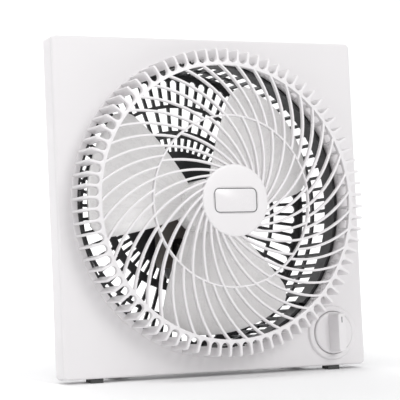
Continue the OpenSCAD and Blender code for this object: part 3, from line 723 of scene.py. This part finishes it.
class BuildComb(bpy.types.Operator):
    """Side wall of the grille: a rounded shoulder cut into fins by round-ended slots"""
    bl_idname = "object.fan_comb"
    bl_label = "Side wall"

    def execute(self, context):
        grille = context.scene.fan_grille
        dome = Dome(grille)
        finish = finishes(context.scene)["white_grille"]
        radius, fin_depth = mm(grille.wall_radius), mm(grille.fin_depth)
        top = dome.height(mm(grille.outer))
        unit = self.fin(grille, radius, fin_depth, top)
        around(unit, grille.fins, math.pi / grille.fins)
        bmesh.ops.remove_doubles(unit, verts=unit.verts, dist=0.01)
        bmesh.ops.recalc_face_normals(unit, faces=unit.faces)
        foot = bmesh.new()
        shelf, spigot, behind = radius - mm(grille.wall_foot), radius - 3.3, -6
        lathe(foot, softened([(shelf - 0.7, behind), (spigot, behind), (spigot, 0), (radius, 0),
                              (radius, 1.5), (shelf, 1.5), (shelf - 0.7, 0.6)], 0.4, 2), 160)
        piece_from(joined(unit, foot), "grille_side", HUB, finish, "frame", ("grille_comb",), 40)
        return {"FINISHED"}

    def fin(self, grille, radius, fin_depth, top):
        """One fin with its share of the shoulder, pointing along x."""
        half_pitch = math.pi / grille.fins
        half = mm(grille.fin_width) / 2
        centre = mm(grille.outer) + mm(grille.outer_width) / 2 + 4.2
        reach = centre * math.sin(half_pitch) - half * math.cos(half_pitch)
        middle = Vector((math.cos(half_pitch), math.sin(half_pitch))) * centre * math.cos(half_pitch)
        inner = mm(grille.outer) + 0.5
        side = [(inner * math.cos(half_pitch), inner * math.sin(half_pitch))]
        for step in range(6):
            bearing = math.pi + half_pitch + (math.pi / 2 - half_pitch) * step / 5
            side.append((middle.x + reach * math.cos(bearing), middle.y + reach * math.sin(bearing)))
        side[-1] = (side[-1][0], half)
        side.append((radius, half))
        outline = [(x, -y) for x, y in side] + side[::-1]
        bm = plate(outline, -5.5, 0)
        bmesh.ops.bisect_plane(bm, geom=bm.verts[:] + bm.edges[:] + bm.faces[:], dist=1e-4,
                               plane_co=(radius - fin_depth, 0, 0), plane_no=(1, 0, 0))
        foot = [face for face in bm.faces
                if face.normal.z < -0.9 and face.calc_center_median().x > radius - fin_depth]
        grown = bmesh.ops.extrude_face_region(bm, geom=foot)["geom"]
        for vert in (item for item in grown if isinstance(item, bmesh.types.BMVert)):
            vert.co.z = 1 - top
        bmesh.ops.delete(bm, geom=[f for f in foot if f.is_valid], context="FACES_ONLY")
        crest = [edge for edge in bm.edges if all(
            vert.co.x > radius - 0.01 and vert.co.z > -0.01 for vert in edge.verts)]
        rounded_off(bm, crest, 2.6, 4)
        rim = [face for face in bm.faces if self.on_pitch_line(face, half_pitch)]
        bmesh.ops.delete(bm, geom=rim, context="FACES")
        soft = [edge for edge in sharp(bm, 50) if min(vert.co.x for vert in edge.verts) > inner + 0.6]
        rounded_off(bm, soft, 0.55, 2)
        cap, slope = -8, 0.07
        for vert in bm.verts:
            out = max(0.0, math.hypot(vert.co.x, vert.co.y) - centre + 4)
            vert.co.z += top - out * slope * (vert.co.z > cap)
        return bm

    def on_pitch_line(self, face, half_pitch):
        """Whether a face is one of the two that the neighbouring fins share."""
        return all(abs(abs(math.atan2(vert.co.y, vert.co.x)) - half_pitch) < 1e-4 for vert in face.verts)


# ---- Back ----

class BuildGuard(bpy.types.Operator):
    """Basket guard behind the propeller, with softened bars"""
    bl_idname = "object.fan_guard"
    bl_label = "Guard"

    def execute(self, context):
        finish = finishes(context.scene)["guard_moulding"]
        softened_node("basket_guard", "rear_guard", 0.45, finish, "frame")
        return {"FINISHED"}


class BuildBack(bpy.types.Operator):
    """Back cover, stand legs and rubber pads"""
    bl_idname = "object.fan_back"
    bl_label = "Back and feet"

    def execute(self, context):
        materials = finishes(context.scene)
        white, dark = materials["white_moulding"], materials["rubber"]
        softened_node("back_cover", "rear_shell", 0.4, white, "frame")
        softened_node("left_stand", "left_leg", 1.6, white, "frame", 4)
        softened_node("right_stand", "right_leg", 1.6, white, "frame", 4)
        softened_node("front_pads", "front_feet", 0.6, dark, "frame", 3)
        softened_node("rear_pads", "rear_feet", 0.6, dark, "frame", 3)
        softened_node("cord_bush", "cord_grommet", 0.5, dark, "frame", 3)
        return {"FINISHED"}


class BuildScrews(bpy.types.Operator):
    """Screws of the case, the guard, the stand and the motor"""
    bl_idname = "object.fan_screws"
    bl_label = "Screws"

    def execute(self, context):
        finish = finishes(context.scene)["zinc_screw"]
        for node in ("panel_screws", "guard_screws", "leg_screws", "motor_screws"):
            softened_node(node.replace("screws", "fixings"), node, 0.5, finish, "frame", 3)
        return {"FINISHED"}


# ---- Propeller ----

class BuildPropeller(bpy.types.Operator):
    """Three broad swept blades on a cup-shaped hub, and the nut that holds them"""
    bl_idname = "object.fan_propeller"
    bl_label = "Propeller"

    def execute(self, context):
        fan = context.scene.fan_propeller
        materials = finishes(context.scene)
        back, depth, hub = -mm(fan.back), mm(fan.depth), mm(fan.hub)
        wall, boss, bore, soft = 2, 7, 3.2, 1.2
        cup = bmesh.new()
        lathe(cup, softened([(hub - wall, 0), (hub, 0), (hub, depth), (bore, depth), (bore, 0), (boss, 0),
                             (boss, depth - 1.2 * wall), (hub - wall, depth - 1.2 * wall)], soft, 4))
        blades = around(self.blade(fan, hub), fan.blades, fan.turn)
        bm = joined(cup, blades)
        bmesh.ops.translate(bm, verts=bm.verts, vec=(0, 0, back))
        piece_from(bm, "propeller", HUB, materials["blade_plastic"], "rotor", ("fan_blade",), 40)
        nut = bmesh.new()
        lathe(nut, [(0, 0), (7.7, 0), (8, 0.3), (8, 3.6), (7.7, 4.1), (5.3, 7.1), (4.6, 7.5), (0, 7.5)],
              48, closed=False)
        grip = plate(softened([(7.2, -0.8), (8.1, -0.5), (8.1, 0.5), (7.2, 0.8)], 0.2, 2), 0.4, 3.8)
        grips = around(grip, 16)
        whole = joined(nut, grips)
        bmesh.ops.translate(whole, verts=whole.verts, vec=(0, 0, back + depth))
        piece_from(whole, "blade_cap", HUB, materials["nut_moulding"], "rotor", ("blade_nut",), 40)
        coat(materials["turned_steel"], "motor_shaft")
        coat(materials["cast_rotor"], "rotor_core")
        coat(materials["nylon"], "thrust_washers")
        return {"FINISHED"}

    def blade(self, fan, hub):
        """One blade: a grid bent to its swept outline and pitch, then thickened and rounded."""
        root, tip, thickness = hub - 1, mm(fan.radius), mm(fan.thickness)
        middle, pitch, belly, rounding = 14, 10, 3, 0.84
        bm = bmesh.new()
        bmesh.ops.create_grid(bm, x_segments=26, y_segments=26, size=1)
        for vert in bm.verts:
            out, across = (vert.co.x + 1) / 2, vert.co.y
            near_tip = max(0.0, (out - rounding) / (1 - rounding))
            span = fan.root_span + (fan.tip_span - fan.root_span) * out
            bearing = fan.sweep * out + across * span / 2 * math.sqrt(1 - 0.3 * near_tip ** 2)
            radius = root + out * (tip - root)
            rise = middle + pitch * across * (4 + out) / 5 + belly * out * (1 - across * across)
            vert.co = Vector((radius * math.cos(bearing), radius * math.sin(bearing), rise - thickness / 2))
        bmesh.ops.recalc_face_normals(bm, faces=bm.faces)
        bmesh.ops.solidify(bm, geom=bm.verts[:] + bm.edges[:] + bm.faces[:], thickness=thickness)
        bmesh.ops.recalc_face_normals(bm, faces=bm.faces)
        return rounded_off(bm, sharp(bm, 60), 0.6, 2)


# ---- Motor ----

class BuildMotor(bpy.types.Operator):
    """Stack of stamped sheets, wound coil, brackets and bearings"""
    bl_idname = "object.fan_motor"
    bl_label = "Motor"

    def execute(self, context):
        materials = finishes(context.scene)
        coat(materials["stamped_sheets"], "stator_core")
        softened_node("coil_former", "coil_bobbin", 0.3, materials["black_moulding"], "frame")
        coat(materials["fuse_sleeve"], "thermal_fuse")
        softened_node("front_bridge", "front_bracket", 0.3, materials["zinc_sheet"], "frame")
        softened_node("rear_bridge", "rear_bracket", 0.3, materials["zinc_sheet"], "frame")
        coat(materials["sintered_bronze"], "front_bushing", "rear_bushing")
        coat(materials["lead_insulation"], "motor_lead")
        self.coil(context, materials["enamelled_wire"])
        return {"FINISHED"}

    def coil(self, context, finish):
        """The winding: one rounded loop carried along the former, pinched between turns."""
        span, pitch = 33.0, mm(context.scene.fan_motor.wire)
        up, wide, middle, deep = -48.0, 29.0, -55.0, 31.0
        bm = bmesh.new()
        outline = softened(rectangle(wide, deep), 5, 4)
        loop = [bm.verts.new((-span / 2, up + y, middle + z)) for y, z in outline]
        edges = [bm.edges.new(pair) for pair in zip(loop, loop[1:] + loop[:1])]
        turns = round(span / pitch)
        quarters = (0.0, 0.32, 0.0, -0.02)
        for step in range(1, turns * 4 + 1):
            grown = bmesh.ops.extrude_edge_only(bm, edges=edges)["geom"]
            loop = [item for item in grown if isinstance(item, bmesh.types.BMVert)]
            edges = [item for item in grown if isinstance(item, bmesh.types.BMEdge)]
            change = quarters[step % 4] - quarters[(step - 1) % 4]
            for vert in loop:
                away = Vector((0, vert.co.y - up, vert.co.z - middle))
                vert.co.x += span / (turns * 4)
                vert.co -= away.normalized() * change
        tidy(bm)
        piece_from(bm, "winding", HUB, finish, "frame", ("stator_coil",), 80)


# ---- Knob ----

class BuildKnob(bpy.types.Operator):
    """Speed knob with a tapered grip bar, and the switch behind it"""
    bl_idname = "object.fan_knob"
    bl_label = "Knob"

    def execute(self, context):
        knob = context.scene.fan_knob
        materials = finishes(context.scene)
        place = PANEL @ Matrix.Translation((mm(knob.across), mm(knob.up), 0))
        radius, height = mm(knob.radius), mm(knob.height)
        disc = bmesh.new()
        lathe(disc, [(0, 0.6), (radius - 0.5, 0.6), (radius, 1.1), (radius, 3.6), (radius - 0.3, 4.3),
                     (radius - 0.9, 4.8), (radius - 1.8, 5), (0, 5)], 96, closed=False)
        bar = self.bar(mm(knob.grip), mm(knob.grip_front), radius - 1.3, height)
        piece_from(carved(disc, [], [bar]), "knob_body", place, materials["white_moulding"], "knob",
                   ("speed_knob",))
        mark = plate(softened([(-0.5, 8.8), (0.5, 8.8), (0.5, 14.2), (-0.5, 14.2)], 0.3, 3),
                     height - 0.4, height + 0.03)
        piece_from(mark, "knob_line", place, materials["knob_mark"], "knob")
        coat(materials["turned_steel"], "switch_spindle")
        coat(materials["black_moulding"], "switch_body")
        coat(materials["zinc_sheet"], "switch_nut")
        coat(materials["tinned_brass"], "switch_terminals")
        return {"FINISHED"}

    def bar(self, width, front, reach, height):
        """Grip bar: a block with round ends that narrows towards its front."""
        bm = plate(softened(rectangle(width, 2 * reach), 3.2, 5), 4, height)
        for vert in bm.verts:
            if vert.co.z > height - 0.01:
                vert.co.x *= front / width
                vert.co.y *= (reach - 0.6) / reach
        top = [edge for edge in sharp(bm, 50) if all(vert.co.z > height - 0.01 for vert in edge.verts)]
        return rounded_off(bm, top, 0.9, 4)


# ---- Stage ----

class BuildStage(bpy.types.Operator):
    """Pale floor and backdrop, soft lights and the camera"""
    bl_idname = "object.fan_stage"
    bl_label = "Stage"

    def execute(self, context):
        stage = context.scene.fan_stage
        self.floor(tuple(stage.floor))
        self.light("key", (0.7, -2.3, 1.5), 1.0, 22)
        self.light("side", (-1.9, -0.3, 0.7), 1.2, 3)
        self.light("top", (-0.8, -0.5, 2.2), 1.4, 17)
        self.light("backdrop", (0, 1.1, 1.7), 1.5, 34, (0, 2.4, 0.4))
        world = bpy.data.worlds.new("studio")
        context.scene.world = world
        world.use_nodes = True
        sky = world.node_tree.nodes["Background"]
        sky.inputs["Color"].default_value = (1, 1, 1, 1)
        sky.inputs["Strength"].default_value = stage.sky
        context.scene.view_settings.view_transform = "Standard"
        self.camera(context, stage)
        return {"FINISHED"}

    def floor(self, tone):
        """A floor that curves up into the backdrop behind the fan."""
        bm = bmesh.new()
        start = [bm.verts.new((-4, -3, 0)), bm.verts.new((4, -3, 0))]
        edge = bm.edges.new(start)
        for y, z in ((1.6, 0), (1.85, 0.04), (2.07, 0.14), (2.24, 0.3), (2.36, 0.52), (2.4, 0.8), (2.4, 4)):
            grown = bmesh.ops.extrude_edge_only(bm, edges=[edge])["geom"]
            edge = next(item for item in grown if isinstance(item, bmesh.types.BMEdge))
            for vert in edge.verts:
                vert.co.y, vert.co.z = y, z
        bmesh.ops.recalc_face_normals(bm, faces=bm.faces)
        mesh = bpy.data.meshes.new("floor")
        bm.to_mesh(mesh)
        bm.free()
        mesh.shade_smooth()
        paper = Finish("floor_paper")
        fibre = paper.noise(paper.place(), 900, 2)
        paper.look(Base_Color=paper.mix(fibre, shade(tone, 0.99), shade(tone, 1.01)), Roughness=0.9)
        mesh.materials.append(paper.material)
        sheet = bpy.data.objects.new("floor", mesh)
        bpy.context.scene.collection.objects.link(sheet)

    def light(self, name, place, size, power, target=(0, 0, 0.15)):
        lamp = bpy.data.lights.new(name, "AREA")
        lamp.shape = "SQUARE"
        lamp.size = size
        lamp.energy = power
        holder = bpy.data.objects.new(name, lamp)
        holder.location = place
        aim = Vector(target) - Vector(place)
        holder.rotation_euler = aim.to_track_quat("-Z", "Y").to_euler()
        bpy.context.scene.collection.objects.link(holder)

    def camera(self, context, stage):
        back = Vector((math.sin(stage.azimuth) * math.cos(stage.elevation),
                       -math.cos(stage.azimuth) * math.cos(stage.elevation),
                       math.sin(stage.elevation)))
        target = Vector((0, BASE.y, BASE.z + AXIS_UP / 1000))
        lens = bpy.data.cameras.new("camera")
        lens.lens = stage.lens
        lens.sensor_width = 36
        lens.shift_x = stage.shift_across
        lens.shift_y = stage.shift_up
        lens.clip_end = 20
        view = bpy.data.objects.new("camera", lens)
        view.location = target + back * stage.distance
        view.rotation_euler = (-back).to_track_quat("-Z", "Y").to_euler()
        context.scene.collection.objects.link(view)
        context.scene.camera = view


class FAN_PT_pieces(bpy.types.Panel):
    """Lists the fan's sizes and the pieces that can be built"""
    bl_idname = "FAN_PT_pieces"
    bl_label = "Box fan"
    bl_space_type = "VIEW_3D"
    bl_region_type = "UI"
    bl_category = "Box fan"

    def draw(self, context):
        for name, (label, group) in SETTINGS.items():
            box = self.layout.box()
            box.label(text=label)
            for key in group.__annotations__:
                box.prop(getattr(context.scene, name), key)
        for piece in PIECES:
            self.layout.operator(piece.bl_idname)


SETTINGS = {
    "fan_panel": ("Panel", PanelSettings),
    "fan_grille": ("Grille", GrilleSettings),
    "fan_propeller": ("Propeller", PropellerSettings),
    "fan_knob": ("Knob", KnobSettings),
    "fan_motor": ("Guard and motor", MotorSettings),
    "fan_stage": ("Stage", StageSettings),
}
PIECES = (BuildStage, BuildPanel, BuildGrille, BuildBadge, BuildComb, BuildGuard, BuildBack, BuildScrews,
          BuildPropeller, BuildMotor, BuildKnob)


def register():
    for name, (label, group) in SETTINGS.items():
        bpy.utils.register_class(group)
        setattr(bpy.types.Scene, name, bpy.props.PointerProperty(type=group, name=label))
    for piece in PIECES:
        bpy.utils.register_class(piece)
    bpy.utils.register_class(FAN_PT_pieces)


def unregister():
    bpy.utils.unregister_class(FAN_PT_pieces)
    for piece in reversed(PIECES):
        bpy.utils.unregister_class(piece)
    for name, (label, group) in reversed(SETTINGS.items()):
        delattr(bpy.types.Scene, name)
        bpy.utils.unregister_class(group)


def main():
    register()
    for piece in PIECES:
        family, name = piece.bl_idname.split(".")
        getattr(getattr(bpy.ops, family), name)()


if __name__ == "__main__":
    main()
